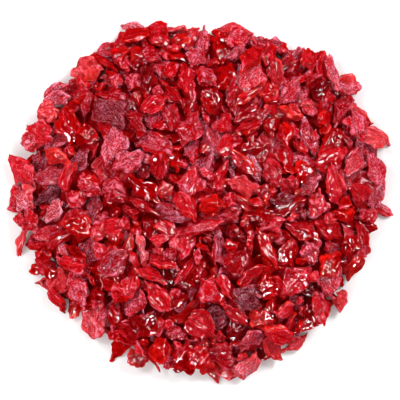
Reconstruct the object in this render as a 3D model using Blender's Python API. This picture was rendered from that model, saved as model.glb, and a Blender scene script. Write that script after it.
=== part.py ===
"""A loose heap of chopped dried cranberries, as it lies when tipped out on a flat surface.

The bits are cut from sweetened dried berries: flat slices with pointed ends, crumpled lumps,
curled petals of skin, strips and crumbs. They are dropped one by one onto a packed middle, and
each comes to rest on what lies below it. The solid is the middle with the bits that show fused on.

Units are metres, +Z is up, and the origin is the middle of the heap's flat underside.
"""

import math
from typing import NamedTuple

import bmesh
import bpy
import numpy as np
from mathutils import Vector

MM = 0.001

# Driving dimensions of the heap
HEAP_WIDTH = 121 * MM
HEAP_DEPTH = 115 * MM
DOME_HEIGHT = 21.5 * MM  # of the surface that the bits keep to, and the topmost ones stand out of it
DOME_ROUNDNESS = 2.1  # how flat the top of the dome is
DOME_SHOULDER = 0.72  # how steep its edge is, steeper for smaller values
SHELL_DEPTH = 10 * MM  # the loose bits go this deep, and below them the middle is packed
UNEVENNESS = 1.3 * MM  # of the dome's surface
SHORT_WAVES = (9 * MM, 8 * MM)
LONG_WAVE = 15 * MM

# Bulges and bays of the heap's outline: angle and half width in degrees, and how far out
OUTLINE_LOBES = (
    (15, 22, 0.8 * MM),
    (45, 8, 2.4 * MM),
    (62, 9, -1.2 * MM),
    (90, 14, -2.0 * MM),
    (119, 8, 2.6 * MM),
    (136, 9, -3.0 * MM),
    (165, 8, -1.6 * MM),
    (228, 14, -2.6 * MM),
    (286, 9, 2.2 * MM),
    (334, 18, -2.8 * MM),
)

# The bits. Lengths run from tip to tip in millimetres, widths are shares of the length and
# thicknesses of the width. Bow is the bend along a bit and curl the bend across it, in radians
# from edge to edge. Dents are shares of the half sizes, ruffles and folds of the half width.
KINDS = {
    "slice": {"share": 0.32, "length": (6.8, 11.0), "width": (0.50, 0.78), "thickness": (0.28, 0.45),
              "bow": (-0.7, 0.7), "curl": (-0.6, 0.6), "dent": 0.22, "ruffle": 0.12, "fold": 0.25},
    "lump": {"share": 0.22, "length": (5.6, 8.4), "width": (0.68, 0.95), "thickness": (0.60, 0.85),
             "bow": (-0.5, 0.5), "curl": (-0.5, 0.5), "dent": 0.42, "ruffle": 0.10, "fold": 0.15},
    "petal": {"share": 0.22, "length": (7.0, 10.8), "width": (0.55, 0.88), "thickness": (0.20, 0.32),
              "bow": (-0.9, 0.9), "curl": (0.7, 2.0), "dent": 0.10, "ruffle": 0.30, "fold": 0.40},
    "strip": {"share": 0.11, "length": (8.5, 13.5), "width": (0.26, 0.42), "thickness": (0.50, 0.85),
              "bow": (-1.3, 1.3), "curl": (-0.5, 0.5), "dent": 0.25, "ruffle": 0.15, "fold": 0.20},
    "crumb": {"share": 0.13, "length": (3.0, 5.0), "width": (0.60, 0.90), "thickness": (0.50, 0.80),
              "bow": (-0.4, 0.4), "curl": (-0.4, 0.4), "dent": 0.25, "ruffle": 0.10, "fold": 0.10},
}
TIP_AZIMUTHS = (36, 90, 144, 216, 270, 324)  # a slice's side cuts, which meet in a point at each end
SIDE_JITTER = 14  # degrees
SIDE_LEAN = 0.28
FLAT_LEAN = 0.16
CUT_REACH = (0.74, 1.02)  # of a slice's cuts from its middle, as shares of its half sizes
LUMP_FACETS = 10
FACET_JITTER = 0.30
FACET_REACH = (0.80, 1.08)
ROUNDING = 13.0  # higher is crisper along the edges between facets
LONGEST_REACH = 1.5
DENTS = 4
DENT_FOCUS = 5.0  # higher is narrower
LEAST_OF_MOST = 0.3  # the shallowest dent and ruffle, as a share of the deepest
RUFFLE_WAVES = (2, 4)

# How the bits settle
SEED = 20
MOST_BITS = 1100
CELL = 0.8 * MM  # of the grid of heights
GRID_HALF = 95  # cells from the middle of the grid to its edge
REACH = 13  # cells from a bit's middle to the edge of its footprint
PROBES = 560  # points that feel out a bit's footprint
SPOTS_TRIED = 14
TURNS_TRIED = 8
NUDGE = 2  # cells that a bit may slide to find a lower place
SINK = 0.35 * MM  # soft bits press into one another this far
TILT_SPREAD = 26  # degrees
RESTLESSNESS = 0.5 * MM  # how far from the lowest place a bit may come to rest
FULL_ENOUGH = 0.6 * MM  # a spot is full where the surface is this near to the dome
FULL_SHARE = 0.93  # of the spots, when the heap is full
GAP_SPAN = 2  # cells each way over which a gap is measured
SLOPE_SPAN = 3  # cells each way over which the dome's slope is measured
RIM_INSET = 3.2 * MM  # the middles of the outermost bits lie this far inside the outline

# The solid
MOST_FUSED = 230
LEAST_SHOWN_CELLS = 7
RIM_FAVOUR = 2.5  # bits near the rim show less from above, so they count for this much more
BIT_SEGMENTS = 6
CORE_SEGMENTS = 36
CORE_RINGS = 12
CORE_INSET = 4.8 * MM
CORE_SINK = 2.5 * MM
CORE_SMOOTHING = 4  # cells each way
CORE_RIM = 1.2 * MM
ROOT_DEPTH = 3.0 * MM  # a fused bit's lowest point reaches this far into the packed middle
ROOT_INSET = 1.5 * MM
FLOOR_GAPS = (0.12 * MM, 0.55 * MM)
GOLDEN_SHARE = 0.618034
HAIR = 0.015 * MM

FLESH_COLOUR = (0.36, 0.010, 0.018, 1.0)
FLESH_ROUGHNESS = 0.32


class Bit(NamedTuple):
    kind: str
    half_sizes: np.ndarray
    normals: np.ndarray
    offsets: np.ndarray
    dents: np.ndarray  # one row each: a direction and a depth
    bow: float
    curl: float
    fold: float
    ruffle: tuple  # size, number of waves round the edge, where they start
    turn: np.ndarray  # rotation matrix
    place: np.ndarray


def outline_radius(angle):
    """How far the heap reaches at an angle round its middle, in radians."""
    across, deep = HEAP_WIDTH / 2, HEAP_DEPTH / 2
    radius = across * deep / np.hypot(deep * np.cos(angle), across * np.sin(angle))
    for middle, half_width, out in OUTLINE_LOBES:
        away = (np.degrees(angle) - middle + 180) % 360 - 180
        radius = radius + out * np.exp(-((away / half_width) ** 2))
    return radius


def dome_height(x, y):
    """The height that the heap's surface keeps to, over a point of the floor."""
    share = np.hypot(x, y) / outline_radius(np.arctan2(y, x))
    dome = DOME_HEIGHT * np.clip(1 - share**DOME_ROUNDNESS, 0, None) ** DOME_SHOULDER
    wave = np.sin(x / SHORT_WAVES[0] + 1.0) * np.sin(y / SHORT_WAVES[1] + 2.2)
    wave = wave + np.sin((x + y) / LONG_WAVE)
    return np.clip(dome + UNEVENNESS * wave * np.clip(1 - share, 0, 0.5), 0, None)


def grid_points():
    """The middles of the grid's cells, as two arrays."""
    along = (np.arange(2 * GRID_HALF) - GRID_HALF + 0.5) * CELL
    return np.meshgrid(along, along, indexing="ij")


def smoothed(heights, reach):
    """Each cell's mean over a square that reaches this many cells each way."""
    padded = np.pad(heights, reach + 1, mode="edge")[:-1, :-1]
    sums = padded.cumsum(0).cumsum(1)
    size = 2 * reach + 1
    total = sums[size:, size:] - sums[:-size, size:] - sums[size:, :-size] + sums[:-size, :-size]
    return total / size**2


def even_directions(count):
    """Unit vectors spread evenly over the sphere, along a spiral."""
    step = np.arange(count) + 0.5
    height = 1 - 2 * step / count
    around = step * math.pi * (3 - math.sqrt(5))
    flat = np.sqrt(1 - height**2)
    return np.stack([flat * np.cos(around), flat * np.sin(around), height], axis=1)


def cut_faces(kind, rng):
    """The facets of a bit: their unit normals, and their distances from its middle."""
    if kind in ("lump", "crumb"):
        normals = even_directions(LUMP_FACETS) + rng.normal(0, FACET_JITTER, (LUMP_FACETS, 3))
        offsets = rng.uniform(*FACET_REACH, LUMP_FACETS)
    else:
        azimuth = np.radians(np.array(TIP_AZIMUTHS) + rng.normal(0, SIDE_JITTER, len(TIP_AZIMUTHS)))
        rise = rng.normal(0, SIDE_LEAN, len(TIP_AZIMUTHS))
        sides = np.stack([np.cos(azimuth), np.sin(azimuth), rise], axis=1)
        flats = np.array([[0, 0, 1], [0, 0, -1.0]]) + rng.normal(0, FLAT_LEAN, (2, 3))
        normals = np.concatenate([sides, flats])
        offsets = rng.uniform(*CUT_REACH, len(normals))
    return normals / np.linalg.norm(normals, axis=1)[:, None], offsets


def bent(points, axis, angle, length):
    """Points bent into an arc along an axis, so that this length turns through this angle."""
    if abs(angle) < 1e-3:
        return points
    radius = length / angle
    turned = points[:, axis] / radius
    out = points.copy()
    out[:, axis] = (radius + points[:, 2]) * np.sin(turned)
    out[:, 2] = (radius + points[:, 2]) * np.cos(turned) - radius
    return out


def surface_points(bit, directions):
    """Where a bit's surface lies in these directions from its middle, before it is placed."""
    nearness = np.clip(directions @ (bit.normals / bit.offsets[:, None]).T, 0, None)
    reach = np.minimum((nearness**ROUNDING).sum(axis=1) ** (-1 / ROUNDING), LONGEST_REACH)
    for dent in bit.dents:
        reach = reach * (1 - dent[3] * np.exp(DENT_FOCUS * (directions @ dent[:3] - 1)))
    unit = directions * reach[:, None]
    size, waves, start = bit.ruffle
    edge_wave = size * np.sin(waves * np.arctan2(unit[:, 1], unit[:, 0]) + start)
    lift = edge_wave * (unit[:, 0] ** 2 + unit[:, 1] ** 2) + bit.fold * np.abs(unit[:, 1])
    points = unit * bit.half_sizes
    points[:, 2] += lift * bit.half_sizes[1]
    points = bent(points, 0, bit.bow, 2 * bit.half_sizes[0])
    points = bent(points, 1, bit.curl, 2 * bit.half_sizes[1])
    return points - points.mean(axis=0)


def placed_points(bit, directions):
    return surface_points(bit, directions) @ bit.turn.T + bit.place


def turned_by(yaw, pitch, roll):
    """The rotation matrix of a roll about X, then a pitch about Y, then a yaw about Z."""
    cy, sy = math.cos(yaw), math.sin(yaw)
    cp, sp = math.cos(pitch), math.sin(pitch)
    cr, sr = math.cos(roll), math.sin(roll)
    about_z = np.array([[cy, -sy, 0], [sy, cy, 0], [0, 0, 1]])
    about_y = np.array([[cp, 0, sp], [0, 1, 0], [-sp, 0, cp]])
    about_x = np.array([[1, 0, 0], [0, cr, -sr], [0, sr, cr]])
    return about_z @ about_y @ about_x


def new_bit(rng, shares):
    """One bit of a random kind, size and shape, not yet placed."""
    kind = list(KINDS)[int(np.searchsorted(np.cumsum(shares), rng.random()))]
    sizes = KINDS[kind]
    length = rng.uniform(*sizes["length"]) * MM
    width = length * rng.uniform(*sizes["width"])
    thickness = width * rng.uniform(*sizes["thickness"])
    normals, offsets = cut_faces(kind, rng)
    dents = rng.normal(0, 1, (DENTS, 3))
    dents = dents / np.linalg.norm(dents, axis=1)[:, None]
    depths = sizes["dent"] * rng.uniform(LEAST_OF_MOST, 1.0, (DENTS, 1))
    side_up = rng.choice([-1.0, 1.0])
    waves = int(rng.integers(RUFFLE_WAVES[0], RUFFLE_WAVES[1] + 1))
    return Bit(
        kind=kind,
        half_sizes=np.array([length, width, thickness]) / 2,
        normals=normals,
        offsets=offsets,
        dents=np.concatenate([dents, depths], axis=1),
        bow=rng.uniform(*sizes["bow"]),
        curl=side_up * rng.uniform(*sizes["curl"]),
        fold=rng.uniform(-1, 1) * sizes["fold"],
        ruffle=(rng.uniform(LEAST_OF_MOST, 1) * sizes["ruffle"], waves, rng.uniform(0, 2 * math.pi)),
        turn=np.eye(3),
        place=np.zeros(3),
    )


def footprint(points):
    """A bit's lowest and highest point over each cell of a square around its middle."""
    cells = np.floor(points[:, :2] / CELL).astype(int) + REACH
    cells = np.clip(cells, 0, 2 * REACH - 1)
    low = np.full((2 * REACH, 2 * REACH), np.inf)
    high = np.full((2 * REACH, 2 * REACH), -np.inf)
    np.minimum.at(low, (cells[:, 0], cells[:, 1]), points[:, 2])
    np.maximum.at(high, (cells[:, 0], cells[:, 1]), points[:, 2])
    return low, high


def settle(bit, spot, heights, slope, rng, directions):
    """The bit at the lowest of several turns and nudges near a spot, with its footprint there."""
    shape = surface_points(bit, directions)
    downhill = math.atan2(slope[1], slope[0])
    lean = turned_by(downhill, math.atan(math.hypot(*slope)), 0) @ turned_by(-downhill, 0, 0)
    best = None
    for _ in range(TURNS_TRIED):
        yaw = rng.uniform(0, 2 * math.pi)
        tilt = np.radians(rng.normal(0, TILT_SPREAD, 2))
        turn = lean @ turned_by(yaw, tilt[0], tilt[1])
        luck = rng.uniform(0, RESTLESSNESS)
        low, high = footprint(shape @ turn.T)
        for east in range(-NUDGE, NUDGE + 1):
            for north in range(-NUDGE, NUDGE + 1):
                i, j = spot[0] + east - REACH, spot[1] + north - REACH
                window = heights[i : i + 2 * REACH, j : j + 2 * REACH]
                rest = round(float((window - low).max()) - SINK, 6)
                if best is None or rest + luck < best[0]:
                    best = (rest + luck, rest, (i, j), high, turn)
    _, rest, (i, j), high, turn = best
    place = np.array([(i + REACH - GRID_HALF) * CELL, (j + REACH - GRID_HALF) * CELL, rest])
    return bit._replace(turn=turn, place=place), (i, j), high + rest


def fill_heap():
    """Drops bits until the heap is full. Returns them, the heights and each cell's topmost bit."""
    rng = np.random.default_rng(SEED)
    x, y = grid_points()
    inside = np.hypot(x, y) < outline_radius(np.arctan2(y, x)) - RIM_INSET
    dome = dome_height(x, y)
    heights = np.clip(dome - SHELL_DEPTH, 0, None)
    slope_x, slope_y = np.gradient(smoothed(dome, SLOPE_SPAN), CELL)
    owner = np.full(heights.shape, -1)
    directions = even_directions(PROBES)
    shares = np.array([kind["share"] for kind in KINDS.values()])
    spots = np.argwhere(inside)
    bits = []
    while len(bits) < MOST_BITS:
        missing = smoothed(np.round(dome - heights, 6), GAP_SPAN)
        tried = spots[rng.integers(0, len(spots), SPOTS_TRIED)]
        spot = tried[np.argmax(np.round(missing[tried[:, 0], tried[:, 1]], 6))]
        if (missing[inside] < FULL_ENOUGH).mean() > FULL_SHARE:
            break
        slope = (-slope_x[spot[0], spot[1]], -slope_y[spot[0], spot[1]])
        bit, (i, j), top = settle(new_bit(rng, shares), spot, heights, slope, rng, directions)
        window = heights[i : i + 2 * REACH, j : j + 2 * REACH]
        above = top > window
        owner[i : i + 2 * REACH, j : j + 2 * REACH][above] = len(bits)
        window[above] = top[above]
        bits.append(bit)
    return bits, heights, owner


def read_height(heights, x, y):
    """The heights of a grid at points of the floor, between its cells' middles."""
    i = np.clip(x / CELL + GRID_HALF - 0.5, 0, 2 * GRID_HALF - 1.001)
    j = np.clip(y / CELL + GRID_HALF - 0.5, 0, 2 * GRID_HALF - 1.001)
    i0, j0 = i.astype(int), j.astype(int)
    fi, fj = i - i0, j - j0
    near = heights[i0, j0] * (1 - fj) + heights[i0, j0 + 1] * fj
    far = heights[i0 + 1, j0] * (1 - fj) + heights[i0 + 1, j0 + 1] * fj
    return near * (1 - fi) + far * fi


def linked(name, ball, collection):
    """A new object with a finished bmesh, in the collection."""
    mesh = bpy.data.meshes.new(name)
    ball.to_mesh(mesh)
    ball.free()
    made = bpy.data.objects.new(name, mesh)
    collection.objects.link(made)
    return made


def core_top(heights):
    """The packed middle's height over each cell, smoothed and sunk under the bits that show."""
    return smoothed(heights, CORE_SMOOTHING) - CORE_SINK


def core_edge(x, y):
    """How far the packed middle reaches, on the side of these points of the floor."""
    return outline_radius(np.arctan2(y, x)) - CORE_INSET


def core_object(top, collection):
    """The packed middle: a sphere drawn out to the outline, under the bits and flat below."""
    ball = bmesh.new()
    bmesh.ops.create_uvsphere(ball, u_segments=CORE_SEGMENTS, v_segments=CORE_RINGS, radius=1.0)
    corners = np.array([v.co for v in ball.verts])
    is_top = corners[:, 2] > -0.01
    around = np.arctan2(corners[:, 1], corners[:, 0])
    out = 1 - np.abs(np.arcsin(corners[:, 2])) / (math.pi / 2)
    out = np.where(is_top, out, out * CORE_RINGS / (CORE_RINGS - 2))  # so that the rim is upright
    out = out * core_edge(corners[:, 0], corners[:, 1])
    places = np.stack([out * np.cos(around), out * np.sin(around)], axis=1)
    surface = np.maximum(read_height(top, places[:, 0], places[:, 1]), CORE_RIM) * is_top
    for vertex, place, height in zip(ball.verts, places, surface):
        vertex.co = (*place, height)
    return linked("cranberry_heap", ball, collection)


def bit_object(index, bit, top, collection):
    """One bit with few sides, from a sphere whose points move to the bit's surface.

    Its lowest point reaches down into the packed middle, so that it is held there. No two bits
    on the floor have their undersides in one plane, which would make the union fragile.
    """
    ball = bmesh.new()
    rings = 2 if bit.kind == "crumb" else 3
    bmesh.ops.create_uvsphere(ball, u_segments=BIT_SEGMENTS, v_segments=rings, radius=1.0)
    points = placed_points(bit, np.array([v.co.normalized() for v in ball.verts]))
    lowest = points[np.argmin(points[:, 2])]
    reach = core_edge(lowest[:1], lowest[1:2])[0] - ROOT_INSET
    lowest[:2] *= min(1.0, reach / math.hypot(lowest[0], lowest[1]))
    root = read_height(top, lowest[:1], lowest[1:2])[0] - ROOT_DEPTH
    lowest[2] = min(lowest[2], root)
    underside = FLOOR_GAPS[0] + (FLOOR_GAPS[1] - FLOOR_GAPS[0]) * (index * GOLDEN_SHARE % 1)
    points[:, 2] = np.maximum(points[:, 2], underside)
    for vertex, point in zip(ball.verts, points):
        vertex.co = point
    return linked(f"bit_{index:03d}", ball, collection)


def bits_that_show(bits, owner):
    """The numbers of the bits that show most, with the largest first."""
    shown = np.bincount(owner[owner >= 0], minlength=len(bits))
    middles = np.array([bit.place for bit in bits])
    edge = outline_radius(np.arctan2(middles[:, 1], middles[:, 0]))
    out = np.hypot(middles[:, 0], middles[:, 1]) / edge
    rank = np.round(shown * (1 + RIM_FAVOUR * out**3), 3)
    order = np.argsort(-rank, kind="stable")
    return [int(n) for n in order[:MOST_FUSED] if shown[n] >= LEAST_SHOWN_CELLS]


def fuse(core, collection):
    """Joins the collection's bits to the core by one union, and removes them."""
    union = core.modifiers.new("fuse", "BOOLEAN")
    union.operation = "UNION"
    union.operand_type = "COLLECTION"
    union.collection = collection
    union.solver = "MANIFOLD"
    graph = bpy.context.evaluated_depsgraph_get()
    fused = bpy.data.meshes.new_from_object(core.evaluated_get(graph))
    core.modifiers.clear()
    core.data = fused
    for bit in list(collection.objects):
        bpy.data.objects.remove(bit)
    bpy.data.collections.remove(collection)


def keep_main_body(core):
    """Drops loose scraps and fills sealed hollows: only the largest closed surface stays."""
    body = bmesh.new()
    body.from_mesh(core.data)
    bmesh.ops.triangulate(body, faces=body.faces)
    waiting, surfaces = set(body.faces), []
    while waiting:
        surface, front = [], [waiting.pop()]
        while front:
            face = front.pop()
            surface.append(face)
            plain_edges = [edge for edge in face.edges if len(edge.link_faces) == 2]
            for neighbour in {f for edge in plain_edges for f in edge.link_faces} & waiting:
                waiting.remove(neighbour)
                front.append(neighbour)
        surfaces.append(surface)
    surfaces.sort(key=len)
    for surface in surfaces[:-1]:
        bmesh.ops.delete(body, geom=surface, context="FACES")
    body.to_mesh(core.data)
    body.free()


def roughen(core):
    """Moves each corner above the floor by a hair, so that none lies on another corner's edge."""
    rng = np.random.default_rng(SEED)
    for vertex in core.data.vertices:
        hair = rng.uniform(-HAIR, HAIR, 3)
        if vertex.co.z > HAIR:
            vertex.co += Vector(hair)


def centre_on_origin(core):
    """Slides the solid so that the middle of its box is over the origin."""
    places = np.array([v.co for v in core.data.vertices])
    middle = (places.min(axis=0) + places.max(axis=0)) / 2
    for vertex in core.data.vertices:
        vertex.co.x -= middle[0]
        vertex.co.y -= middle[1]


def flesh_material():
    material = bpy.data.materials.new("dried_cranberry")
    material.use_nodes = True
    surface = material.node_tree.nodes["Principled BSDF"]
    surface.inputs["Base Color"].default_value = FLESH_COLOUR
    surface.inputs["Roughness"].default_value = FLESH_ROUGHNESS
    surface.inputs["Metallic"].default_value = 0.0
    return material


def build():
    for old in list(bpy.data.objects):
        bpy.data.objects.remove(old)
    heap = bpy.data.collections.new("dried_cranberry_heap")
    loose = bpy.data.collections.new("loose_bits")
    bpy.context.scene.collection.children.link(heap)
    bpy.context.scene.collection.children.link(loose)
    bits, heights, owner = fill_heap()
    top = core_top(heights)
    core = core_object(top, heap)
    for number in bits_that_show(bits, owner):
        bit_object(number, bits[number], top, loose)
    fuse(core, loose)
    keep_main_body(core)
    roughen(core)
    centre_on_origin(core)
    core.data.materials.clear()
    core.data.materials.append(flesh_material())


build()
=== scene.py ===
"""Looks of a heap of chopped dried cranberries, photographed from straight above.

The bits are dropped by the same rules, and with the same seed, as in the model's source, so each
lies where its plain counterpart is fused on. Here they get their wrinkles, torn rims and flesh.
"""

import math
from typing import NamedTuple

import bpy
import numpy as np
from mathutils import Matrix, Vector


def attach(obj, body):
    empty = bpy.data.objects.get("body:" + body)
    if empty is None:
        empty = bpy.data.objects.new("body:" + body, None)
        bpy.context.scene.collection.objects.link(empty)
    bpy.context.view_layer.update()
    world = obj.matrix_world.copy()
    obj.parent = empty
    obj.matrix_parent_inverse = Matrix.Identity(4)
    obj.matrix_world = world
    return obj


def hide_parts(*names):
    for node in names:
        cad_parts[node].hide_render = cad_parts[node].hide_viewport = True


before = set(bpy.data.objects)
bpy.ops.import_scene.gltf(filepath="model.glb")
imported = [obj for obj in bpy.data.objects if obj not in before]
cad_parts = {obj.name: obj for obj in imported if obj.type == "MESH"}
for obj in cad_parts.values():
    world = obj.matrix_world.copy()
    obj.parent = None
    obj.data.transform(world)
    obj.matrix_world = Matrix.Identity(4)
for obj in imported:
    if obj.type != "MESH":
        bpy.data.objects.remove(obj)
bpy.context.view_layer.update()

MM = 0.001

# Driving dimensions of the heap, the same as in the model's source
HEAP_WIDTH = 121 * MM
HEAP_DEPTH = 115 * MM
DOME_HEIGHT = 21.5 * MM  # of the surface that the bits keep to, and the topmost ones stand out of it
DOME_ROUNDNESS = 2.1  # how flat the top of the dome is
DOME_SHOULDER = 0.72  # how steep its edge is, steeper for smaller values
SHELL_DEPTH = 10 * MM  # the loose bits go this deep, and below them the middle is packed
UNEVENNESS = 1.3 * MM  # of the dome's surface
SHORT_WAVES = (9 * MM, 8 * MM)
LONG_WAVE = 15 * MM
HEAP_SHIFT = (0.23 * MM, 2.61 * MM)  # puts the middle of the heap's box over the origin

# Bulges and bays of the heap's outline: angle and half width in degrees, and how far out
OUTLINE_LOBES = (
    (15, 22, 0.8 * MM),
    (45, 8, 2.4 * MM),
    (62, 9, -1.2 * MM),
    (90, 14, -2.0 * MM),
    (119, 8, 2.6 * MM),
    (136, 9, -3.0 * MM),
    (165, 8, -1.6 * MM),
    (228, 14, -2.6 * MM),
    (286, 9, 2.2 * MM),
    (334, 18, -2.8 * MM),
)

# The bits. Lengths run from tip to tip in millimetres, widths are shares of the length and
# thicknesses of the width. Bow is the bend along a bit and curl the bend across it, in radians
# from edge to edge. Dents are shares of the half sizes, ruffles and folds of the half width.
KINDS = {
    "slice": {"share": 0.32, "length": (6.8, 11.0), "width": (0.50, 0.78), "thickness": (0.28, 0.45),
              "bow": (-0.7, 0.7), "curl": (-0.6, 0.6), "dent": 0.22, "ruffle": 0.12, "fold": 0.25},
    "lump": {"share": 0.22, "length": (5.6, 8.4), "width": (0.68, 0.95), "thickness": (0.60, 0.85),
             "bow": (-0.5, 0.5), "curl": (-0.5, 0.5), "dent": 0.42, "ruffle": 0.10, "fold": 0.15},
    "petal": {"share": 0.22, "length": (7.0, 10.8), "width": (0.55, 0.88), "thickness": (0.20, 0.32),
              "bow": (-0.9, 0.9), "curl": (0.7, 2.0), "dent": 0.10, "ruffle": 0.30, "fold": 0.40},
    "strip": {"share": 0.11, "length": (8.5, 13.5), "width": (0.26, 0.42), "thickness": (0.50, 0.85),
              "bow": (-1.3, 1.3), "curl": (-0.5, 0.5), "dent": 0.25, "ruffle": 0.15, "fold": 0.20},
    "crumb": {"share": 0.13, "length": (3.0, 5.0), "width": (0.60, 0.90), "thickness": (0.50, 0.80),
              "bow": (-0.4, 0.4), "curl": (-0.4, 0.4), "dent": 0.25, "ruffle": 0.10, "fold": 0.10},
}
TIP_AZIMUTHS = (36, 90, 144, 216, 270, 324)  # a slice's side cuts, which meet in a point at each end
SIDE_JITTER = 14  # degrees
SIDE_LEAN = 0.28
FLAT_LEAN = 0.16
CUT_REACH = (0.74, 1.02)  # of a slice's cuts from its middle, as shares of its half sizes
LUMP_FACETS = 10
FACET_JITTER = 0.30
FACET_REACH = (0.80, 1.08)
ROUNDING = 13.0  # higher is crisper along the edges between facets
LONGEST_REACH = 1.5
DENTS = 4
DENT_FOCUS = 5.0  # higher is narrower
LEAST_OF_MOST = 0.3  # the shallowest dent and ruffle, as a share of the deepest
RUFFLE_WAVES = (2, 4)

# How the bits settle
SEED = 20
MOST_BITS = 1100
CELL = 0.8 * MM  # of the grid of heights
GRID_HALF = 95  # cells from the middle of the grid to its edge
REACH = 13  # cells from a bit's middle to the edge of its footprint
PROBES = 560  # points that feel out a bit's footprint
SPOTS_TRIED = 14
TURNS_TRIED = 8
NUDGE = 2  # cells that a bit may slide to find a lower place
SINK = 0.35 * MM  # soft bits press into one another this far
TILT_SPREAD = 26  # degrees
RESTLESSNESS = 0.5 * MM  # how far from the lowest place a bit may come to rest
FULL_ENOUGH = 0.6 * MM  # a spot is full where the surface is this near to the dome
FULL_SHARE = 0.93  # of the spots, when the heap is full
GAP_SPAN = 2  # cells each way over which a gap is measured
SLOPE_SPAN = 3  # cells each way over which the dome's slope is measured
RIM_INSET = 3.2 * MM  # the middles of the outermost bits lie this far inside the outline

# Bits that only the looks have. First slices and then crumbs drop into the deepest gaps. Each row
# holds the kind, how many are tried, the cells each way over which a gap is measured, and the seed.
GAP_FILLS = (
    ("slice", 16, 2, SEED + 4),
    ("crumb", 60, 1, SEED + 2),
)
GAP_SPOTS_TRIED = 150
GAP_INSET = 5.5 * MM  # their middles lie at least this far inside the outline
GAP_TOP = 26.0 * MM  # a bit that would stand higher than this is left out

# Crumbs under the rim, where the solid has its core. Each row holds how many lie round the heap,
# how far inside the outline, and how high.
FOOT_ROWS = (
    (84, 4.6 * MM, 0.0),
    (84, 7.2 * MM, 1.6 * MM),
    (72, 9.6 * MM, 3.4 * MM),
)
FOOT_JITTER = 0.6  # along a row, as a share of the step from crumb to crumb
FOOT_SCATTER = 0.9 * MM  # across a row
FOOT_SEED = SEED + 3
FOOT_SHOWN = 1  # cells that each counts as showing, as it shows only from the side


class Finish(NamedTuple):
    """How one kind of bit is worked out finely and painted. Its lengths are in millimetres."""

    piece: str  # the name of the piece that holds the bits
    split: int  # how many pieces share them
    taper: float  # how much narrower a bit is at its ends, as a share of its width
    warp: float  # how far its whole shape is twisted out of true
    folds: float  # depth of the folds of crumpled skin
    fold_stretch: float  # folds run along a bit, so their pattern is drawn out, more for smaller values
    veins: float  # height of the lengthwise veins of cut flesh
    notches: float  # depth of the torn notches round the rim
    dusty: float  # how much of the flesh is dusty
    wet: float  # how much of it is wet


FINISHES = {
    "slice": Finish("cut_slices", split=2, taper=0.40, warp=0.40, folds=0.65, fold_stretch=0.45,
                    veins=0.24, notches=1.10, dusty=0.34, wet=0.30),
    "lump": Finish("crumpled_lumps", split=1, taper=0.30, warp=0.45, folds=1.00, fold_stretch=0.9,
                   veins=0.20, notches=0.55, dusty=0.13, wet=0.55),
    "petal": Finish("curled_skins", split=2, taper=0.30, warp=0.50, folds=0.50, fold_stretch=0.5,
                    veins=0.20, notches=0.85, dusty=0.27, wet=0.38),
    "strip": Finish("strips", split=1, taper=0.25, warp=0.45, folds=0.60, fold_stretch=0.4,
                    veins=0.42, notches=0.45, dusty=0.23, wet=0.40),
    "crumb": Finish("crumbs", split=1, taper=0.25, warp=0.35, folds=0.70, fold_stretch=1.0,
                    veins=0.15, notches=0.35, dusty=0.14, wet=0.45),
}
FINISH_SEED = SEED + 1

# Fine surfaces. Spans are the millimetres from one fold, vein or notch to the next.
FINE_ROUNDING = 34.0  # crisper than where the bits settle
STRETCH = 1.07  # tapered ends look short, so the fine bits are this much longer
TAPER_REACH = 1.2  # of the taper from a bit's middle, in half lengths
TAPER_BULGE = 0.1  # how much wider a bit is in its middle, as a share of its taper
TAPER_LEAN = 0.25  # how much more one end tapers, and the other less, as a share at most
WARP_SPAN = 3.0
WARP_SHIFTS = (0, 31.7, 67.3)  # apart in the noise, so that X, Y and Z are warped on their own
FOLD_SPAN = 2.6
SMALL_FOLDS = 0.5  # folds of half the span, as a share of the full ones
FOLD_LEVEL = 0.5  # the surface stays where it is where the folds' noise has this value
VEIN_SPAN = 0.85
VEIN_STRETCH = 0.16  # veins run along a bit, as folds do
VEIN_LEVEL = 0.7  # as the folds' level
NOTCH_SPAN = 1.5
RIDGE_GAIN = 2.5  # higher counts blunter edges as sharp
FLOOR_GAP = 0.05 * MM  # nothing lies lower than this

# How finely the bits are meshed, from point to point
FINE_MESH = 0.52 * MM
COARSE_MESH = 0.9 * MM
HIDDEN_MESH = 2.0 * MM
FINE_SHOWN = 16  # cells that a finely meshed bit shows from above, at least
FEWEST_CELLS = 3  # along each side of a bit's six grids

# The noise that wrinkles the surfaces
NOISE_SEED = 7
NOISE_TABLE = 256  # the noise repeats after this many units
NOISE_FIELD = 60  # each bit has its own place in the noise, up to this far from its middle

# The sheet that a piece's bits are laid out on, for baking their looks onto
SHEET_SPARE = 1.04  # its width, as a multiple of what the bits would just fill
SHEET_MARGIN = 0.05  # round each grid, as a share of its width

# Light comes through the bits along the heap's rim, so they are paler
RIM_DEPTH = 6.6 * MM  # how far in they are
RIM_PALENESS = 0.9  # of the outermost ones

# The packed middle under the loose bits
MIDDLE_RINGS = 46
MIDDLE_SEGMENTS = 150
MIDDLE_SINK = 3.4 * MM  # below the surface of the loose bits
MIDDLE_SMOOTHING = 3  # cells each way, over which that surface is evened out
MIDDLE_INSET = 9.0 * MM  # inside the outline
MIDDLE_LOWEST = 0.5 * MM
MIDDLE_BUMPS = 1.1 * MM
MIDDLE_BUMP_LEVEL = 0.4  # as the folds' level
MIDDLE_BUMP_SPAN = 3.4  # millimetres

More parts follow.
